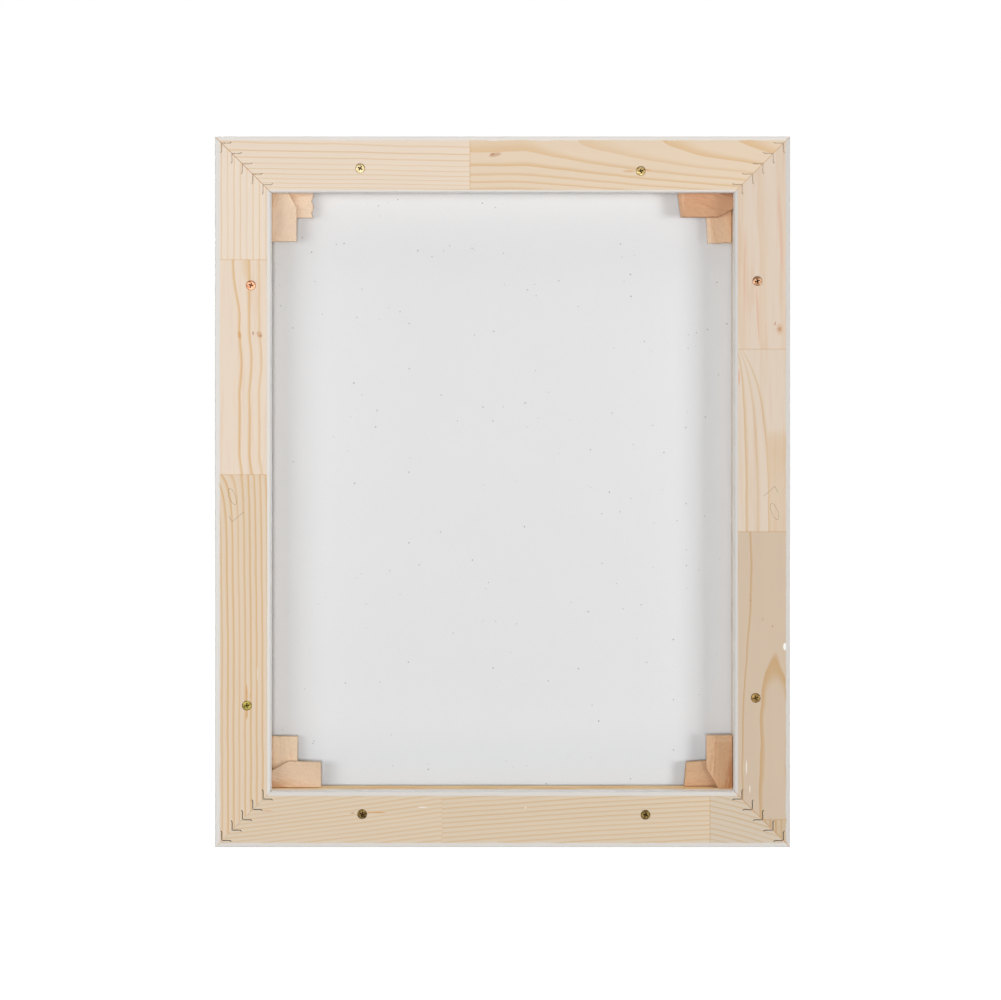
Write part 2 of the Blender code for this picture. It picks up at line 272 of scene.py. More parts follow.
def sheet_mesh():
    """The cloth's middle surface: a flat grid in front, carried round the bars' edges ring by ring."""
    across, up = 36, 44
    first_inset = 12 * MM
    offset = Vector((cloth_centre.x, 0, cloth_centre.z))
    bm = bmesh.new()
    flat = [[None] * (across + 1) for _ in range(up + 1)]
    for row in range(up + 1):
        for column in range(across + 1):
            u, v = 2 * column / across - 1, 2 * row / up - 1
            place = (u * (half_width - first_inset), front_skin, v * (half_height - first_inset))
            flat[row][column] = bm.verts.new(Vector(place) + offset)
    for row in range(up):
        for column in range(across):
            a, b = flat[row][column:column + 2]
            d, c = flat[row + 1][column:column + 2]
            bm.faces.new((a, b, c, d))
    rim = [(c, 0) for c in range(across)] + [(across, r) for r in range(up)]
    rim += [(across - c, up) for c in range(across)] + [(0, up - r) for r in range(up)]
    ring = [flat[row][column] for column, row in rim]

    rings = [(6 * MM, front_skin), (3 * MM, front_skin)]
    rings += turned_edge(90, 0, EDGE_TURN, front_skin + EDGE_TURN)
    rings += [(0, front_skin * 0.5 + back_skin * 0.5)]
    rings += turned_edge(0, -90, EDGE_TURN, back_skin - EDGE_TURN)
    rings += [(inset * MM, back_skin) for inset in (4, 8, 12)] + [(FLAP, back_skin)]
    corner_softness = 0.8 * MM
    for inset, y in rings:
        after = []
        for column, row in rim:
            u, v = 2 * column / across - 1, 2 * row / up - 1
            x, z = u * (half_width - inset), v * (half_height - inset)
            if abs(u) == 1 and abs(v) == 1:
                x, z = x - u * corner_softness, z - v * corner_softness
            after.append(bm.verts.new((cloth_centre.x + x, y, cloth_centre.z + z)))
        for i in range(len(rim)):
            following = (i + 1) % len(rim)
            bm.faces.new((ring[i], ring[following], after[following], after[i]))
        ring = after
    return bm


def add_pleats(bm):
    """The spare cloth at each corner, folded flat as a long triangle on the top and bottom sides."""
    reach, proud = 19 * MM, CLOTH * 1.05
    for sign_x in (1, -1):
        for sign_z in (1, -1):
            corner_x = cloth_centre.x + sign_x * half_width
            side_z = cloth_centre.z + sign_z * half_height
            layers = []
            for lift in (0.2 * proud, proud):
                front = (corner_x - sign_x * EDGE_TURN, front_skin + EDGE_TURN, side_z + sign_z * lift)
                inner = (corner_x - sign_x * reach, back_skin - EDGE_TURN, side_z + sign_z * lift)
                outer = (corner_x - sign_x * 0.4 * MM, back_skin - EDGE_TURN, side_z + sign_z * lift)
                tucked = (corner_x - sign_x * (reach + 2 * MM), back_skin, side_z - sign_z * 4 * MM)
                layers.append([bm.verts.new(place) for place in (front, inner, tucked, outer)])
            under, over = layers
            bm.faces.new((over[0], over[1], over[3]))
            bm.faces.new((over[1], over[2], over[3]))
            bm.faces.new((under[0], under[1], over[1], over[0]))


# The threads' spacing in millimetres. Then the specks of seed husk: how far apart they lie, their size
# as a share of that, and the share left out. Then the painted shade on the lower cloth above the bottom
# bar: the height at which it begins, the height at which it is darkest, and its filter.
WARP_SPACING, WEFT_SPACING = 0.74, 0.70
SPECKS = ((8.0, 0.07, 0.5), (12.0, 0.03, 0.2))
BOTTOM_SHADE_TOP, BOTTOM_SHADE_FOOT, BOTTOM_SHADE_FILTER = 95, 38, (0.86, 0.90, 0.935, 1.0)

cotton, shade, (x, y, z) = new_finish("cotton, primed white in front and raw behind")
from_side = (half_width / MM) - abs(x - cloth_centre.x / MM)
from_side = from_side.lesser((half_height / MM) - abs(z - cloth_centre.z / MM))
behind = y - front_skin / MM
raw = behind.rise(0.04, 0.12) * behind.rise(1.5, 1.4) * (from_side > 2.0)
weft = shade.noise(shade.vector(x * 0.35, 0, z * 2.1), 1.0, 3.0, 0.6)
warp = shade.noise(shade.vector(x * 2.1, 0, z * 0.35), 1.0, 3.0, 0.6)
threads = shade.math("SINE", x * (math.tau / WARP_SPACING))
threads = threads * shade.math("SINE", z * (math.tau / WEFT_SPACING))
weave = weft * 1.1 + warp * 0.9 + threads * 0.12
specks = 0.0
for cell, size, share in SPECKS:
    settings = {"feature": "F1", "voronoi_dimensions": "3D"}
    spots = {"Vector": shade.vector(x / cell, y * 0, z / cell), "Scale": 1.0, "Randomness": 1.0}
    near = shade.node("TexVoronoi", settings, spots, 0)
    pick = shade.node("SeparateColor", {}, {0: shade.node("TexVoronoi", settings, spots, 1)}, 0)
    specks = near.rise(size * 1.3, size * 0.6) * (pick > share) * (pick - share * 0.5) + specks
# Painted shade: the cloth is darkened evenly towards the bottom, as light falling off.
painted_shade_low = ((cloth_high.z / MM - z) / (cloth_high.z / MM)) * 0.035
cloud = shade.noise(shade.vector(x * 0.012, 0, z * 0.012), 1.0, 2.0)
light = 1.0 - painted_shade_low + (weave - 1.0) * 0.05 + (cloud - 0.5) * 0.02
plain = shade.filter(1.0, tone(226, 226, 227), shade.vector(light, light, light))
# Painted shade: the cloth is darkened just above the bottom bar, where that bar shades it.
plain = shade.filter(z.rise(BOTTOM_SHADE_TOP, BOTTOM_SHADE_FOOT), plain, BOTTOM_SHADE_FILTER)
plain = shade.mix((specks * 1.3).lesser(1.0), plain, tone(150, 144, 138))
ground = shade.noise(shade.vector(x * 0.5, y * 0.5, z * 0.5), 1.0, 4.0, 0.6)
primer = shade.mix(ground.rise(0.3, 0.75) * 0.25, tone(240, 240, 237), tone(229, 228, 224))
surface(
    cotton,
    Base_Color=shade.mix(raw, primer, plain),
    Roughness=0.82 - (1 - raw) * 0.22 + ground * 0.06,
    Normal=shade.bump(weave + ground * 0.4, 0.09 * MM),
)

bm = sheet_mesh()
add_pleats(bm)
canvas = new_piece("canvas", mesh_from(bm, "canvas"), cotton)
thicken = canvas.modifiers.new("cloth thickness", "SOLIDIFY")
thicken.thickness = CLOTH * 0.9
thicken.offset = 0
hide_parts("canvas_cloth")

# A few ends of thread that have frayed from the turned edge, hanging out past the left bar: the height
# each starts from in metres, and how far it runs and sags in millimetres.
FRAYED_ENDS = (
    (0.440, 9, 4), (0.434, 13, 7), (0.428, 6, 3), (0.421, 16, 9), (0.418, 11, 8), (0.412, 18, 6),
    (0.4245, 8, -3),
)
BENDS = 9
fray = bpy.data.curves.new("frayed_threads", "CURVE")
fray.dimensions = "3D"
fray.bevel_depth = 0.07 * MM
fray.bevel_resolution = 1
wall_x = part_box("stretcher_bar_left")[0].x
draw = random.Random(7)
for start_z, run, sag in FRAYED_ENDS:
    spline = fray.splines.new("POLY")
    spline.points.add(BENDS)
    wave = draw.uniform(-1, 1)
    for step, point in enumerate(spline.points):
        t = step / BENDS
        bow = math.sin(t * math.pi) * wave * MM
        point.co = (
            wall_x + 1.5 * MM - t * (run + 1.5) * MM,
            cloth_low.y + (1.2 + 6.5 * (1 - t) ** 1.5 + 1.5 * math.sin(t * 7 + run)) * MM,
            start_z - t * t * sag * MM + bow,
            1,
        )
thread_white = new_finish("bleached cotton thread")[0]
surface(thread_white, Base_Color=tone(246, 246, 244), Roughness=0.8)
frayed = new_piece("frayed_threads", fray, thread_white)

# ---- Staples --------------------------------------------------------------------------------------
# Flat-crowned wire staples, shot through the turned edge into the backs of the bars until the crown
# has bedded into the cloth. The frame's flange covers them.

# A staple's crown, its legs, half its wire's thickness, and how far its row is from the cloth's edge.
CROWN, LEG, WIRE, ROW_INSET = 10 * MM, 8 * MM, 0.22 * MM, 11 * MM
wire, shade, (x, y, z) = new_finish("staple wire")
dull = shade.noise(shade.vector(x, y, z), 1.4, 2.0)
surface(wire, Base_Color=tone(176, 176, 174), Roughness=dull * 0.3 + 0.25, Metallic=1.0)


def staple_row(side, count):
    """Staples along one side, each crown at a small slant, as one piece."""
    bm = bmesh.new()
    draw = random.Random(len(side) * count)
    flat = side in ("top", "bottom")
    reach = half_width if flat else half_height
    for i in range(count):
        along = (2 * (i + 0.5) / count - 1) * (reach - 14 * MM) + draw.uniform(-3, 3) * MM
        sign = 1 if side in ("top", "left") else -1
        middle = Vector((along, 0, sign * (half_height - ROW_INSET))) if flat else Vector(
            (sign * (half_width - ROW_INSET), 0, along))
        middle += Vector((cloth_centre.x, cloth_high.y + 0.02 * MM, cloth_centre.z))
        turn = Matrix.Rotation(draw.uniform(-0.2, 0.2) + (0 if flat else math.pi / 2), 4, "Y")
        for low, high in (
            ((-CROWN / 2, -WIRE, -WIRE), (CROWN / 2, WIRE, WIRE)),
            ((-CROWN / 2, -LEG, -WIRE), (-CROWN / 2 + 2 * WIRE, 0, WIRE)),
            ((CROWN / 2 - 2 * WIRE, -LEG, -WIRE), (CROWN / 2, 0, WIRE)),
        ):
            low, high = Vector(low), Vector(high)
            place = Matrix.Translation(middle) @ turn @ Matrix.Translation((low + high) / 2)
            bmesh.ops.create_cube(bm, size=1, matrix=place @ Matrix.Diagonal((*(high - low), 1)))
    return bm


for side, count in (("top", 7), ("bottom", 7), ("left", 8), ("right", 8)):
    mesh = mesh_from(staple_row(side, count), f"staples_{side}", 25)
    staples = new_piece(f"staples_{side}", mesh, wire)
    soften = staples.modifiers.new("drawn wire", "BEVEL")
    soften.width = 0.08 * MM
    soften.segments = 2

# ---- Keys -----------------------------------------------------------------------------------------
# Eight sawn beech wedges, two in each corner. Tapped in, they open the corner and tighten the cloth.
# Each has its straight edge along one bar and its slanted nose in the next bar's slot.

NOSE, NOSE_ANGLE = 27 * MM, math.radians(29)
ways = {joint["child"]: Vector(joint["axis"]) for joint in frame["joints"]}
WIDE_BEVEL = 2
# How each one was sawn, in millimetres: the bevels at its end and its long edge, how far its end
# slants, how ragged the end is and how much its far edge tapers. Then the slope of its grain, and the
# tones of its open grain and of its darker grain, which also gives the painted shade towards the
# corner.
Key = namedtuple("Key", "name end edge slant rag taper grain pale dark")
KEYS = [
    Key("top_left_back", 0.5, 0.5, 0.0, 0.2, 0.4, 0.34, (230, 203, 176), (208, 164, 122)),
    Key("top_left_front", 0.6, 0.6, 0.0, 1.9, 0.0, 0.07, (230, 204, 178), (210, 168, 130)),
    Key("top_right_back", 2.3, 0.5, -2.6, 0.2, 0.0, 0.34, (203, 154, 115), (157, 95, 54)),
    Key("top_right_front", 0.5, 3.8, 0.6, 0.9, 1.6, 0.07, (228, 191, 155), (208, 156, 111)),
    Key("bottom_right_back", 2.2, 5.4, 0.0, 0.25, 0.0, 0.07, (203, 160, 120), (173, 117, 71)),
    Key("bottom_right_front", 0.5, 0.6, -1.5, 0.25, 1.5, 0.07, (193, 156, 120), (167, 116, 77)),
    Key("bottom_left_back", 0.8, 0.5, 0.0, 0.15, 0.8, 0.34, (212, 184, 156), (194, 150, 111)),
    Key("bottom_left_front", 0.4, 0.5, 0.0, 0.15, 0.0, 0.07, (224, 198, 168), (204, 164, 124)),
]


def key_outline(key, length, width, side, nose, edge, end):
    """A wedge's outline, (along, across), with each of its edges moved inward by its own distance."""
    slope = math.tan(NOSE_ANGLE)
    tip = width - NOSE * slope - nose / math.cos(NOSE_ANGLE)
    points = [(side, side), (side, tip + side * slope), ((width - edge - tip) / slope, width - edge)]
    steps = 18
    for step in range(steps + 1):
        t = step / steps
        ripple = 0.5 + 0.4 * math.cos(t * 12 - 2) + 0.5 * noise.noise(Vector((t * 9, 0.4, width * 50)))
        back_off = key.rag * ripple + max(key.slant * t, -key.slant * (1 - t))
        far = width - key.taper * MM - edge
        points.append((length - end - back_off * MM, side + (far - side) * (1 - t)))
    return points


def key_mesh(key, low, high, along, across):
    """A wedge with its own bevels, built up from the outline of each level of its thickness."""
    size = high - low
    length, width = abs(size.dot(along)), abs(size.dot(across))
    drop = 0.4 * MM if max(key.end, key.edge) < WIDE_BEVEL else 1.6 * MM
    levels = [
        (high.y, (0.25 * MM, 0.35 * MM, key.edge * MM, key.end * MM)),
        (high.y - drop, (0, 0, 0, 0)),
        (low.y + 0.3 * MM, (0, 0, 0, 0)),
        (low.y, (0.25 * MM, 0.25 * MM, 0.25 * MM, 0.25 * MM)),
    ]
    start = Vector([low[axis] if (along + across)[axis] > 0 else high[axis] for axis in range(3)])
    bm = bmesh.new()
    rings = []
    for y, insets in levels:
        ring = []
        for ahead, aside in key_outline(key, length, width, *insets):
            place = start + along * ahead + across * aside
            ring.append(bm.verts.new((place.x, y, place.z)))
        rings.append(ring)
    for upper, lower in zip(rings, rings[1:]):
        for i in range(len(upper)):
            following = (i + 1) % len(upper)
            bm.faces.new((upper[i], upper[following], lower[following], lower[i]))
    bm.faces.new(rings[0])
    bm.faces.new(rings[-1])
    return bm


def beech_finish(key, low, high, along, across):
    """Sawn beech: short dark rays along a slanting grain, painted shade towards the corner, furred by
    the saw.
    """
    finish, shade, (x, y, z) = new_finish(f"key {key.name}, sawn beech")
    upright = along.x == 0
    run, over = (z, x) if upright else (x, z)
    run_sign, over_sign = (along.z, across.x) if upright else (along.x, across.z)
    run_start = (low if run_sign > 0 else high)[2 if upright else 0] / MM
    over_start = (low if over_sign > 0 else high)[0 if upright else 2] / MM
    run, over = (run - run_start) * run_sign, (over - over_start) * over_sign
    size = (high - low) / MM
    length, width = abs(size.dot(along)), abs(size.dot(across))
    skew = over + run * key.grain
    seed = sum(ord(letter) for letter in key.name) % 17
    band = shade.noise(shade.vector(skew * 0.17, run * 0.02, seed), 1.0, 2.0)
    fine = shade.noise(shade.vector(skew * 0.75, run * 0.07, y * 0.5 + seed), 1.0, 4.0, 0.75)
    rays = shade.noise(shade.vector(skew * 1.9, run * 0.3, y * 2 + seed), 1.0, 3.0, 0.7)
    saw = shade.noise(shade.vector(run * 0.5 + over * 0.2, over * 0.08, seed + 4), 1.0, 3.0, 0.7)
    # Painted shade: the key darkens towards the corner, between the bars.
    painted_corner_shade = ((over * 0.55 + run * 0.16) / 9).rise(1.3, 0.15)
    depth = painted_corner_shade * 0.75 + (band - 0.5) * 1.6 + (fine - 0.5) * 2.2
    wood = shade.mix(depth.rise(0.0, 1.0), tone(*key.pale), tone(*key.dark))
    wood = shade.filter(rays.rise(0.50, 0.72) * 0.7, wood, (0.84, 0.71, 0.58, 1.0))
    # Painted highlight: the wide bevels at the long edge and the end are lightened as though they
    # caught the light.
    cut = over.rise(width - key.edge - 0.2, width - key.edge + 0.2) * (key.edge > WIDE_BEVEL)
    bevel_end_highlight = run.rise(length - key.end - 2.8, length - key.end - 2.4) * (key.end > WIDE_BEVEL)
    cut = cut.greater(bevel_end_highlight)
    wood = shade.filter(cut * 0.6, wood, (1.12, 1.26, 1.45, 1.0))
    light = (fine - 0.5) * 0.25 + (saw - 0.5) * 0.16 + 1.0
    surface(
        finish,
        Base_Color=shade.filter(1.0, wood, shade.vector(light, light, light)),
        Roughness=fine * 0.15 + 0.58,
        Normal=shade.bump(fine + rays * 0.4 + saw * 0.5, 0.16 * MM),
    )
    return finish


for key in KEYS:
    body = f"key_{key.name}"
    low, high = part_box(body)
    along = ways[body]
    sign_x, sign_z = 1 if "left" in key.name else -1, 1 if "top" in key.name else -1
    across = Vector((-sign_x, 0, 0)) if along.x == 0 else Vector((0, 0, -sign_z))
    mesh = mesh_from(key_mesh(key, low, high, along, across), f"key_{key.name}_wedge", 30)
    finish = beech_finish(key, low, high, along, across)
    wedge = new_piece(f"key_{key.name}_wedge", mesh, finish, body=body)
    soften = wedge.modifiers.new("worn arrises", "BEVEL")
    soften.width = 0.12 * MM
    soften.segments = 2
    soften.limit_method = "ANGLE"
    soften.angle_limit = math.radians(35)
    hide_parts(body)

# ---- Floater frame rails --------------------------------------------------------------------------
# Four L-shaped rails moulded from finger-jointed pine, mitred at the corners. The front, the sides and
# the rims are sprayed white. The back is raw, with a ragged edge of paint that crept round on to it.

frame_low, frame_high = cad_box
FRAME_HEIGHT = frame_high.z - frame_low.z
FLANGE_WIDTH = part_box("floater_rail_top")[1].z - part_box("floater_rail_top")[0].z

LATE_FILTER = (0.905, 0.74, 0.50, 1.0)
PINK_FILTER = (0.975, 0.905, 0.85, 1.0)
GLUE_FILTER = (0.93, 0.82, 0.69, 1.0)
WHITE_PAINT = tone(243, 243, 241)

# One stave of a rail: where along the rail it ends, the tone of its wood, how plain its rings and its
# pink streaks are, where in a ring the dark late wood starts, and how its rings run. A ring ends where
# that value, worked out from the place across and along in millimetres, passes a whole number. Last is
# how plain the glue is at the stave's end.
Stave = namedtuple("Stave", "end wood late pink start rings glue", defaults=(1.0,))
RAIL_STAVES = {
    "left": [
        Stave(90.8, (230, 213, 194), 0.70, 0.0, 0.72, lambda across, along: (
            across - along * 0.004) / 4.7 - 0.05),
        Stave(249.3, (228, 210, 190), 1.0, 0.9, 0.58, lambda across, along: ((
            across - 18.9 - 1.7 * along.swell(166, 26) - 2.2 * along.rise(232, 252)
            + 4.2 * along.rise(132, 100) * across.rise(26, 18)) / 7.3 + 3).greater(2.3)),
        Stave(600, (221, 200, 175), 1.0, 0.0, 0.45, lambda across, along: (
            across - 6.1 + 7.5 * (249 - along).power(1 / 15) * across.rise(24, 2)
            + 2.2 * (249 - along).power(1 / 55)) / 4.25 + 2),
    ],
    "right": [
        Stave(156.8, (217, 199, 181), 0.30, 1.2, 0.40, lambda across, along: (
            across + along * 0.022 - 10.4 + 0.6 * along.swell(90, 30)) / 15.4 + 2),
        Stave(291.3, (215, 198, 179), 0.75, 0.8, 0.55, lambda across, along: 4 - (
            (41 - across) / (1 - 0.92 * (152 - along).power(1 / 34)) / 8.4).lesser(
            3.9 - 0.65 * along.rise(195, 225))),
        Stave(503.5, (202, 181, 157), 0.85, 0.0, 0.80, lambda across, along: (
            ((across - 11) * (across - 11) - 3.2 * (along.ease(345, 425) - 380.6)) / 465 + 3)),
        Stave(600, (198, 175, 145), 1.0, 0.0, 0.50, lambda across, along: across / 4.0 + 0.2),
    ],
    "top": [
        Stave(188.0, (228, 210, 190), 0.80, 0.0, 0.72, lambda across, along: (
            (across + 23.3) * (across + 23.3) - 1.3 * along + 14 * along.swell(100, 40)) / 362 - 0.1),
        Stave(600, (224, 203, 177), 0.70, 0.0, 0.50, lambda across, along: (
            across * across - 6.0 * along.ease(232, 600)) / 348 + 9.61),
    ],
    "bottom": [
        Stave(167.4, (216, 197, 172), 0.65, 0.0, 0.50, lambda across, along: (
            (across * (1 - 0.0006 * along) - 0.105 * along) / 3.05 + 12), 0.25),
        Stave(364.9, (214, 195, 170), 0.72, 0.0, 0.50, lambda across, along: (
            (across - 0.086 * along.ease(0, 395) * (1.35 - along * 0.0011)) / 3.5 + 14.6)),
        Stave(600, (206, 190, 169), 0.68, 0.0, 0.50, lambda across, along: (
            (across + (along - 365) * 0.22 + (along - 365) * (along - 365) * 0.0012) / 4.1 + 0.4)),
    ],
}

# The accidents of each rail: the middle of the mark across and along the rail, its half width and half
# length, how far it leans off the grain, its colour and how strong it is.
Mark = namedtuple("Mark", "across along wide long lean colour strength")
KNOT, TORN, SCUFF = tone(176, 118, 76), tone(206, 166, 128), tone(168, 172, 184)
DAB, REDDENED, RAW_TEAR = tone(244, 243, 240), tone(214, 160, 132), tone(210, 158, 100)
RAIL_MARKS = {
    "left": [
        Mark(18.2, 146.5, 1.3, 3.2, 0.1, RAW_TEAR, 0.85), Mark(28.2, 145.0, 0.7, 1.6, 0.0, KNOT, 0.7),
        Mark(32.8, 146.0, 2.2, 2.6, 0.2, TORN, 0.8), Mark(33.4, 147.0, 0.8, 0.8, 0.0, KNOT, 0.8),
        Mark(23.4, 410.5, 0.7, 7.0, 0.02, RAW_TEAR, 0.9),
        Mark(23.5, 425.5, 0.7, 4.5, -0.05, RAW_TEAR, 0.9),
        Mark(26.2, 411.5, 0.5, 2.5, -0.3, RAW_TEAR, 0.6), Mark(31.3, 396.0, 0.4, 6.0, 0.0, DAB, 0.4),
    ],
    "right": [
        Mark(7.7, 142.0, 1.5, 1.9, 0.0, KNOT, 0.85), Mark(7.7, 142.0, 2.9, 4.6, 0.0, TORN, 0.5),
        Mark(11.0, 138.0, 0.6, 1.6, 0.2, KNOT, 0.7), Mark(1.5, 40.0, 1.4, 5.5, 0.0, SCUFF, 0.6),
        Mark(3.0, 120.0, 0.18, 36.0, 0.0, KNOT, 0.5), Mark(37.7, 177.5, 0.7, 6.5, 0.0, REDDENED, 0.7),
        Mark(3.8, 376.0, 1.5, 2.9, 0.0, DAB, 0.95), Mark(32.2, 465.0, 0.45, 6.0, 0.0, DAB, 0.6),
        Mark(29.7, 481.0, 0.4, 3.2, 0.0, DAB, 0.6), Mark(12.9, 361.0, 0.5, 1.0, 0.0, KNOT, 0.7),
        Mark(20.2, 356.0, 0.4, 1.2, 0.0, KNOT, 0.6), Mark(29.0, 342.0, 0.4, 1.0, 0.0, KNOT, 0.6),
        Mark(7.0, 70.0, 1.6, 34.0, -0.05, REDDENED, 0.35),
        Mark(33.7, 100.0, 0.9, 34.0, 0.0, REDDENED, 0.3),
        Mark(23.8, 132.0, 0.7, 24.0, -0.045, REDDENED, 0.5),
    ],
    "top": [
        Mark(13.5, 206.5, 1.5, 4.8, -0.2, KNOT, 0.5), Mark(13.0, 204.5, 0.7, 1.8, -0.2, KNOT, 0.8),
        Mark(25.6, 305.5, 1.1, 5.0, 0.0, RAW_TEAR, 0.5),
        Mark(24.6, 318.5, 0.5, 3.0, 0.1, RAW_TEAR, 0.7),
    ],
    "bottom": [
        Mark(26.8, 39.0, 0.45, 4.0, 0.0, TORN, 0.8), Mark(29.6, 153.0, 0.4, 4.0, 0.0, DAB, 0.7),
        Mark(29.1, 229.0, 0.4, 0.9, 0.0, DAB, 0.8), Mark(25.7, 118.5, 0.6, 8.5, -0.04, RAW_TEAR, 0.9),
        Mark(25.3, 101.5, 0.6, 1.6, 0.1, KNOT, 0.6),
    ],
}


def stepped(along, staves, values):
    """A value that changes at each glued joint between a rail's staves."""
    total = values[0]
    for stave, before, after in zip(staves, values, values[1:]):
        total = (along > stave.end) * (after - before) + total
    return total


def lap_mask(shade, inward, along, width, rag, seed):
    """Paint that has crept a ragged width inward from an edge."""
    fine = shade.noise(shade.vector(along * 0.9, inward * 0.25, seed), 1.0, 3.0, 0.65)
    broad = shade.noise(shade.vector(along * 0.06, 0, seed + 5), 1.0, 1.0)
    reach = width + (fine - 0.5) * rag + (broad - 0.5) * rag
    return (reach - inward).rise(-0.12, 0.18)


def rail_finish(side, outer_lap, inner_lap, thin_paint_shaded):
    """Raw pine behind, stave by stave, and white paint on the rest with its ragged laps."""
    finish, shade, (x, y, z) = new_finish(f"floater rail {side}, pine and white paint")
    left, top, back = frame_high.x / MM, frame_high.z / MM, frame_high.y / MM
    if side in ("left", "right"):
        across, along, length = (left - x if side == "left" else x + left), top - z, top
    else:
        across, along, length = (top - z if side == "top" else z), left - x, 2 * left
    depth = back - y
    staves = RAIL_STAVES[side]

    drift = shade.noise(shade.vector(across * 0.03, along * 0.02, len(side)), 1.0, 2.0)
    count = stepped(along, staves, [stave.rings(across, along) for stave in staves])
    count = count + (drift - 0.5) * 0.35 + depth * 0.02
    phase = shade.math("FRACT", count)
    start = stepped(along, staves, [stave.start for stave in staves])
    late = ((phase - start) / (0.95 - start)).rise(0, 1) * phase.rise(1.0, 0.965)
    vigour = shade.node("TexWhiteNoise", {"noise_dimensions": "1D"},
                        {"W": shade.math("FLOOR", count)})
    late = late * (vigour * 0.5 + 0.7) * stepped(along, staves, [stave.late for stave in staves])

    fibre = shade.noise(shade.vector(across * 2.6, along * 0.05, depth * 2.6), 1.0, 4.0, 0.6)
    cloud = shade.noise(shade.vector(across * 0.10, along * 0.012, depth * 0.1), 1.0, 2.0)
    streak = shade.noise(shade.vector(across * 0.33, along * 0.014, count * 0.1), 1.0, 3.0, 0.6)
    grain = shade.noise(shade.vector(across * 1.6, along * 1.0, depth), 1.0, 3.0, 0.7)
    wood = tone(*staves[0].wood)
    for stave, after in zip(staves, staves[1:]):
        wood = shade.mix(along > stave.end, wood, tone(*after.wood))
    pink = streak.rise(0.48, 0.70) * stepped(along, staves, [stave.pink for stave in staves])
    wood = shade.filter(pink, wood, PINK_FILTER)
    wood = shade.filter(late, wood, LATE_FILTER)
    glue = 0.0
    waver = (grain - 0.5) * 1.2
    for stave in staves[:-1]:
        joint = abs(along + waver - stave.end).rise(0.75, 0.2)
        glue = joint * (fibre * 1.2 + 0.2) * stave.glue + glue
    mitre = abs(along - across).lesser(abs(length - along - across))
    glue = mitre.rise(0.8, 0.2) * (grain * 0.7 + 0.2) + glue
    wood = shade.filter(glue.lesser(1.0), wood, GLUE_FILTER)
    light = (fibre - 0.5) * 0.05 + (cloud - 0.5) * 0.06 + (grain - 0.5) * 0.04 + 1.0
    wood = shade.filter(1.0, wood, shade.vector(light, light, light))
    for mark in RAIL_MARKS[side]:
        aside = (across - mark.across - (along - mark.along) * mark.lean) / mark.wide
        ahead = (along - mark.along) / mark.long
        mask = (aside * aside + ahead * ahead + (grain - 0.5) * 1.6).rise(1.25, 0.35)
        wood = shade.mix(mask * mark.strength, wood, mark.colour)

    inward = FLANGE_WIDTH / MM - across
    paint = lap_mask(shade, across, along, outer_lap, 1.6, 3)
    paint = paint.greater(lap_mask(shade, inward, along, inner_lap, 0.7, 11))
    paint = paint.greater(depth.rise(0.9, 1.3))
    grit = shade.noise(shade.vector(x * 1.5, y * 1.5, z * 1.5), 1.0, 3.0)
    # Painted shade: the thin paint's tone is darker on the right and bottom rails.
    coat = shade.mix(depth.rise(0.5, 0.8), tone(*thin_paint_shaded), WHITE_PAINT)
    coat = shade.filter(grit.rise(0.3, 0.8) * 0.3, coat, (0.92, 0.92, 0.92, 1.0))
    height = (fibre * 0.35 - late * 0.05) * (1 - paint) + paint * 0.6 + grit * 0.15
    surface(
        finish,
        Base_Color=shade.mix(paint, wood, coat),
        Roughness=0.72 - paint * 0.22 + (fibre - 0.5) * 0.1,
        Normal=shade.bump(height, 0.12 * MM),
    )
    return finish


# How far the paint laps on to each rail's back from outside and inside, and its tone where it is thin,
# set darker on the right and bottom rails as painted shade.
for side, outer_lap, inner_lap, thin_paint_shaded in (
    ("top", 2.9, 1.6, (223, 217, 210)), ("bottom", 3.3, 3.1, (212, 207, 201)),
    ("left", 3.6, 2.6, (218, 214, 209)), ("right", 3.1, 2.6, (204, 199, 194)),
):
    wear(nodes[f"floater_rail_{side}"], rail_finish(side, outer_lap, inner_lap, thin_paint_shaded))

# ---- Glue in the mitres ---------------------------------------------------------------------------
# The glue that filled each mitre, dried to a brown line flush with the back.

GLUE_TONES = {
    "top_left": (196, 148, 102), "top_right": (214, 176, 138),
    "bottom_left": (214, 196, 170), "bottom_right": (202, 154, 106),
}
for corner, glue_tone in GLUE_TONES.items():
    finish, shade, (x, y, z) = new_finish(f"glue, {corner} mitre")
    beads = shade.noise(shade.vector(x, y * 0.2, z), 0.7, 3.0, 0.7)
    thick_tone = [channel * 0.82 for channel in glue_tone]
    surface(
        finish,
        Base_Color=shade.mix(beads.rise(0.35, 0.7), tone(*glue_tone), tone(*thick_tone)),
        Roughness=0.5,
    )
    sign_x, sign_z = 1 if "left" in corner else -1, 1 if "top" in corner else -1
    tip = Vector((sign_x * frame_high.x, 0, frame_high.z if sign_z > 0 else 0))
    bm = bmesh.new()
    lean = Vector((sign_x, 0, -sign_z)) * 0.16 * MM
    sunk, flush = frame_high.y - 0.5 * MM, frame_high.y + 0.01 * MM
    rings = []
    for inset in (0.4 * MM, FLANGE_WIDTH - 0.4 * MM):
        middle = tip - Vector((sign_x, 0, sign_z)) * inset
        rings.append([
            bm.verts.new(middle + lean * side + Vector((0, y, 0)))
            for side, y in ((1, sunk), (1, flush), (-1, flush), (-1, sunk))
        ])
    for i in range(4):
        following = (i + 1) % 4
        bm.faces.new((rings[0][i], rings[0][following], rings[1][following], rings[1][i]))
    bm.faces.new(rings[0])
    bm.faces.new(rings[1])
    new_piece(f"mitre_glue_{corner}", mesh_from(bm, f"mitre_glue_{corner}"), finish)

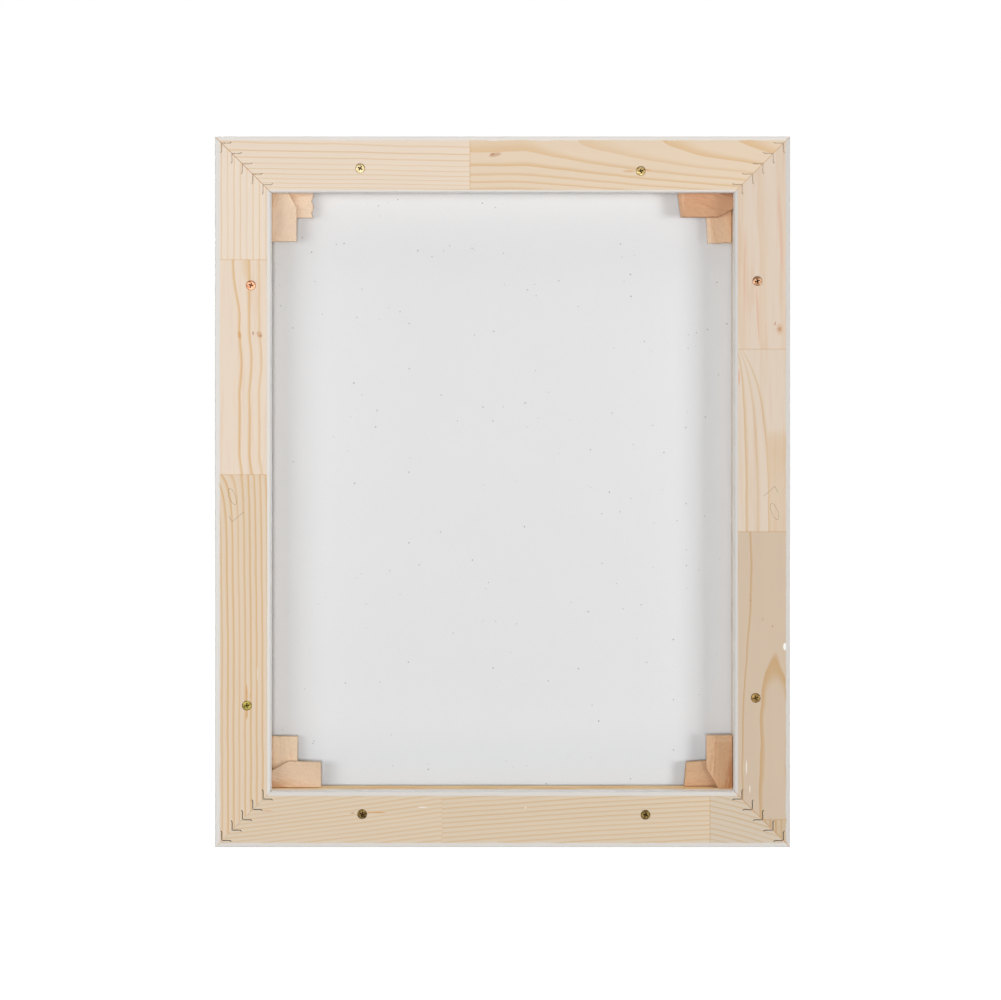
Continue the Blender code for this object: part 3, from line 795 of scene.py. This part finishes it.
# ---- V-nails --------------------------------------------------------------------------------------
# Steel strip bent to a V, five driven across each mitre from behind until they sit just under the
# surface. The wood has closed up round them, most of all at the top corners.

# The strip's thickness, how far its bend stands off the mitre's line, and how far it shows above the
# solid that it replaces.
NAIL_WIDTH, NAIL_CURL, PROUD = 0.62 * MM, 0.72 * MM, 0.12 * MM


def nail_finish(name, clean, stained):
    finish, shade, (x, y, z) = new_finish(name)
    scale = shade.noise(shade.vector(x * 2, y * 0.6, z * 2), 1.0, 3.0)
    surface(
        finish,
        Base_Color=shade.mix(scale.rise(0.3, 0.7), tone(*clean), tone(*stained)),
        Roughness=scale * 0.3 + 0.4,
    )
    return finish


buried = nail_finish("V-nail steel, dusted over", (226, 202, 176), (150, 124, 100))
# Partly painted shade: this near-black stands in for the shade down in the nails' slots as well as for
# dark steel.
black_steel_and_slot_shade = nail_finish("V-nail steel", (60, 50, 40), (18, 14, 11))
for name in [node for node in nodes if node.startswith("v_nail")]:
    low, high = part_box(name)
    sign_x, sign_z = 1 if "left" in name else -1, 1 if "top" in name else -1
    start = Vector((high.x if sign_x > 0 else low.x, 0, high.z if sign_z > 0 else low.z))
    reach = high.x - low.x
    leg = [(reach, 0), (reach - 0.25 * MM, NAIL_CURL * 0.45), (reach - 0.6 * MM, NAIL_CURL * 0.85),
           (reach - 1.1 * MM, NAIL_CURL), (NAIL_CURL + NAIL_WIDTH / 2 + 0.3 * MM, NAIL_CURL)]
    leg = [Vector((outward, inward + NAIL_WIDTH / 2)) for outward, inward in leg]
    path = leg + [place.yx for place in reversed(leg)]
    bm = bmesh.new()
    rings = []
    for i, place in enumerate(path):
        run = (path[min(i + 1, len(path) - 1)] - path[max(i - 1, 0)]).normalized()
        side_step = Vector((run.y, -run.x)) * NAIL_WIDTH / 2
        ring = []
        for half, level in ((1, high.y + PROUD), (-1, high.y + PROUD), (-1, low.y), (1, low.y)):
            spot = place + side_step * half
            ring.append(bm.verts.new((start.x - sign_x * spot.x, level, start.z - sign_z * spot.y)))
        rings.append(ring)
    for before, after in zip(rings, rings[1:]):
        for i in range(4):
            following = (i + 1) % 4
            bm.faces.new((before[i], before[following], after[following], after[i]))
    bm.faces.new(rings[0])
    bm.faces.new(rings[-1])
    strip = new_piece(name + "_strip", mesh_from(bm, name + "_strip", 30),
                      buried if "top" in name else black_steel_and_slot_shade)
    soften = strip.modifiers.new("rolled edges", "BEVEL")
    soften.width = 0.14 * MM
    soften.segments = 2
    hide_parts(name)

# ---- Screws ---------------------------------------------------------------------------------------
# Yellow-zinc chipboard screws, 3.5 x 25 mm, cross-recessed and countersunk, driven flush through the
# flange into the bars.

# Radii of the head, of its flat face, of the thread's root and of its crest, and the thread's pitch.
# Then the half length and half width of the recess's arms, and its depth.
HEAD, FACE, CORE, CREST, PITCH = 3.5 * MM, 2.5 * MM, 1.2 * MM, 1.72 * MM, 1.5 * MM
ARM, SLIT, RECESS = 1.9 * MM, 0.43 * MM, 1.7 * MM
THREAD_TOP, POINT_LENGTH = 3.4 * MM, 5 * MM
FACETS = 32


def screw_mesh(length):
    """A domed, countersunk head with a tapered cross recess, over a shank with a helical thread."""
    bm = bmesh.new()

    def ring(radii, y):
        made = []
        for facet in range(FACETS):
            angle = math.tau * facet / FACETS
            radius = radii[facet] if isinstance(radii, list) else radii
            made.append(bm.verts.new((radius * math.cos(angle), y, radius * math.sin(angle))))
        return made

    def cross(arm, slit, y):
        corner = [(arm, -slit), (arm, slit), (slit, slit)]
        places = []
        for turn in range(4):
            cos, sin = (1, 0, -1, 0)[turn], (0, 1, 0, -1)[turn]
            places += [(a * cos - b * sin, y, a * sin + b * cos) for a, b in corner]
        return [bm.verts.new(place) for place in places]

    def band(upper, lower):
        for i in range(len(upper)):
            following = (i + 1) % len(upper)
            bm.faces.new((upper[i], upper[following], lower[following], lower[i]))

    face = ring(FACE, 0)
    mouth = cross(ARM, SLIT, 0)
    edges = [bm.edges.new((loop[i - 1], loop[i])) for loop in (face, mouth) for i in range(len(loop))]
    bmesh.ops.triangle_fill(bm, edges=edges, use_beauty=True)
    floor_cross = cross(ARM * 0.45, SLIT * 0.7, -RECESS)
    band(mouth, floor_cross)
    bm.faces.new(floor_cross)
    levels = [(3.0 * MM, -0.05 * MM), (3.35 * MM, -0.16 * MM), (HEAD, -0.36 * MM), (HEAD, -0.5 * MM),
              (CREST, -2.5 * MM), (CREST, -3.2 * MM)]
    rings = [face] + [ring(radius, y) for radius, y in levels]
    rows = 80
    for row in range(rows + 1):
        y = -THREAD_TOP - (length - THREAD_TOP) * row / rows
        remaining = (length + y) / POINT_LENGTH
        radii = []
        for facet in range(FACETS):
            ridge = max(0.0, 1 - abs((y / PITCH + facet / FACETS) % 1 - 0.5) * 5)
            radii.append((CORE + (CREST - CORE) * ridge) * min(1.0, max(0.05, remaining)))
        rings.append(ring(radii, y))
    for upper, lower in zip(rings, rings[1:]):
        band(upper, lower)
    bm.faces.new(rings[-1])
    return bm


def zinc_finish(name, bright, tarnished, face):
    """Plated steel, as passivated or as tarnished as its tones say, with painted shade down in the
    recess.
    """
    finish, shade, (x, y, z) = new_finish(name)
    patch = shade.noise(shade.vector(x, y, z), 0.8, 3.0)
    # Painted shade: below the head's face the recess is darkened to a dark brown.
    sunk = (face / MM - y).rise(0.45, 0.7)
    plate = shade.mix(patch.rise(0.35, 0.7), tone(*bright), tone(*tarnished))
    surface(
        finish,
        Base_Color=shade.mix(sunk, plate, tone(58, 38, 20)),
        Roughness=patch * 0.25 + 0.34,
        Metallic=1.0,
        Normal=shade.bump(patch, 0.05 * MM),
    )
    return finish


# The bright and the tarnished tone of each screw's plating.
ZINC_TONES = {
    "top_left": ((196, 180, 140), (160, 138, 96)), "top_right": ((190, 170, 118), (130, 104, 62)),
    "left_upper": ((212, 158, 128), (160, 104, 72)), "left_lower": ((146, 134, 70), (92, 80, 36)),
    "right_upper": ((186, 148, 118), (118, 82, 56)), "right_lower": ((140, 116, 70), (84, 62, 34)),
    "bottom_left": ((112, 92, 54), (44, 34, 18)), "bottom_right": ((120, 100, 58), (56, 42, 22)),
}
for name in [node for node in nodes if node.startswith("screw")]:
    low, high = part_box(name)
    finish = zinc_finish("yellow zinc, " + name, *ZINC_TONES[name.removeprefix("screw_")], high.y)
    mesh = mesh_from(screw_mesh(high.y - low.y), name + "_cut", 35)
    turn = Matrix.Rotation(random.Random(name).uniform(-0.5, 0.5), 4, "Y")
    centre = Vector(((low.x + high.x) / 2, high.y, (low.z + high.z) / 2))
    mesh.transform(Matrix.Translation(centre) @ turn)
    piece = new_piece(name + "_cut", mesh, finish)
    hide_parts(name)

# ---- Pencil marks ---------------------------------------------------------------------------------
# The framer's marks on the side rails, a leaning ring and a tick in pencil. They say nothing legible.

graphite, shade, (x, y, z) = new_finish("pencil")
skips = shade.noise(shade.vector(x, y, z), 1.2, 3.0, 0.7)
surface(
    graphite,
    Base_Color=shade.mix(skips.rise(0.35, 0.6), tone(176, 152, 132), tone(122, 100, 84)),
    Roughness=0.6,
)
# Both strokes as (across, along) in millimetres from the mark's middle.
RING = [
    (2.2 + 2.6 * math.cos(angle) - 2.1 * math.sin(angle), 6.3 * math.sin(angle) - 4.5)
    for angle in [step * 0.7 for step in range(10)]
]
TICK = [(4.6, 9.6), (3.6, 11.8), (2.4, 14.2), (2.4, 14.2), (-1.4, 10.6), (-6.2, 6.8)]
for side, sign, across, along in (("left", 1, 15.0, 270.0), ("right", -1, 13.7, 272.0)):
    pencil = bpy.data.curves.new(f"pencil_{side}", "CURVE")
    pencil.dimensions = "3D"
    pencil.bevel_depth = 0.14 * MM
    pencil.bevel_resolution = 1
    for stroke in (RING, TICK):
        spline = pencil.splines.new("NURBS")
        spline.points.add(len(stroke) - 1)
        spline.use_endpoint_u = True
        spline.order_u = 3
        for point, (aside, ahead) in zip(spline.points, stroke):
            point.co = (sign * aside * MM, 0, -sign * ahead * MM, 1)
    piece = new_piece(f"pencil_{side}", pencil, graphite)
    piece.scale = (1, 0.14, 1)
    piece.location = (sign * (frame_high.x - across * MM), frame_high.y, frame_high.z - along * MM)

# ---- Floor, lights and camera ---------------------------------------------------------------------
# A plain white floor that shows no shade, softboxes straight behind, at both sides and overhead for the
# raw back, and two more for the painted front.

white = new_finish("white floor")[0]
surface(
    white,
    Base_Color=(0.1, 0.1, 0.1, 1),
    Roughness=1.0,
    Emission_Color=(1, 1, 1, 1),
    Emission_Strength=1.0,
)
bpy.ops.mesh.primitive_plane_add(size=12, location=(0, 0, frame_low.z - 0.5 * MM))
floor = bpy.context.object
floor.name = "floor"
wear(floor, white)
floor.visible_diffuse = False

# How much of the room's white light falls on the object. The backdrop itself stays white.
AMBIENT = 0.143
world = bpy.data.worlds.new("studio")
bpy.context.scene.world = world
world.use_nodes = True
sky = Shade(world.node_tree)
seen = sky.node("LightPath", {}, {})
background = world.node_tree.nodes["Background"]
world.node_tree.links.new((seen * (1 - AMBIENT) + AMBIENT).socket, background.inputs["Strength"])
background.inputs["Color"].default_value = (1, 1, 1, 1)


def soft_light(name, bearing, rise, distance, width, height, power):
    """A softbox at a bearing in degrees from straight behind, positive towards the left."""
    light = bpy.data.lights.new(name, "AREA")
    light.shape = "RECTANGLE"
    light.size, light.size_y = width, height
    light.energy = power
    lamp = bpy.data.objects.new(name, light)
    centre = Vector((0, 0, FRAME_HEIGHT / 2))
    way = Vector((math.sin(math.radians(bearing)), math.cos(math.radians(bearing)), rise))
    lamp.location = centre + way * distance
    lamp.rotation_euler = (-way).to_track_quat("-Z", "Y").to_euler()
    bpy.context.scene.collection.objects.link(lamp)


soft_light("back softbox", 1, -0.02, 3.2, 0.35, 0.35, 31.5)
soft_light("left softbox", 38, 0.05, 2.2, 1.3, 0.7, 16.4)
soft_light("right softbox", -46, 0.0, 2.2, 0.8, 0.7, 20.8)
soft_light("overhead softbox", 0, 4.0, 0.5, 1.2, 1.2, 8.5)
soft_light("front softbox", 150, 0.35, 2.6, 1.6, 1.6, 60)
soft_light("front fill", -140, 0.1, 2.6, 1.0, 1.6, 18)

VIEW_DISTANCE, EYE_ABOVE_MIDDLE, EYE_ASIDE = 1.5, 67.8 * MM, 1.5 * MM
camera = bpy.data.objects.new("camera", bpy.data.cameras.new("camera"))
bpy.context.scene.collection.objects.link(camera)
bpy.context.scene.camera = camera
camera.data.sensor_width = 36
camera.data.lens = 73.18
camera.data.shift_y = -0.1
camera.location = (EYE_ASIDE, frame_high.y + VIEW_DISTANCE, FRAME_HEIGHT / 2 + EYE_ABOVE_MIDDLE)
camera.rotation_euler = (math.radians(90), 0, math.radians(180))
bpy.context.scene.view_settings.view_transform = "Standard"
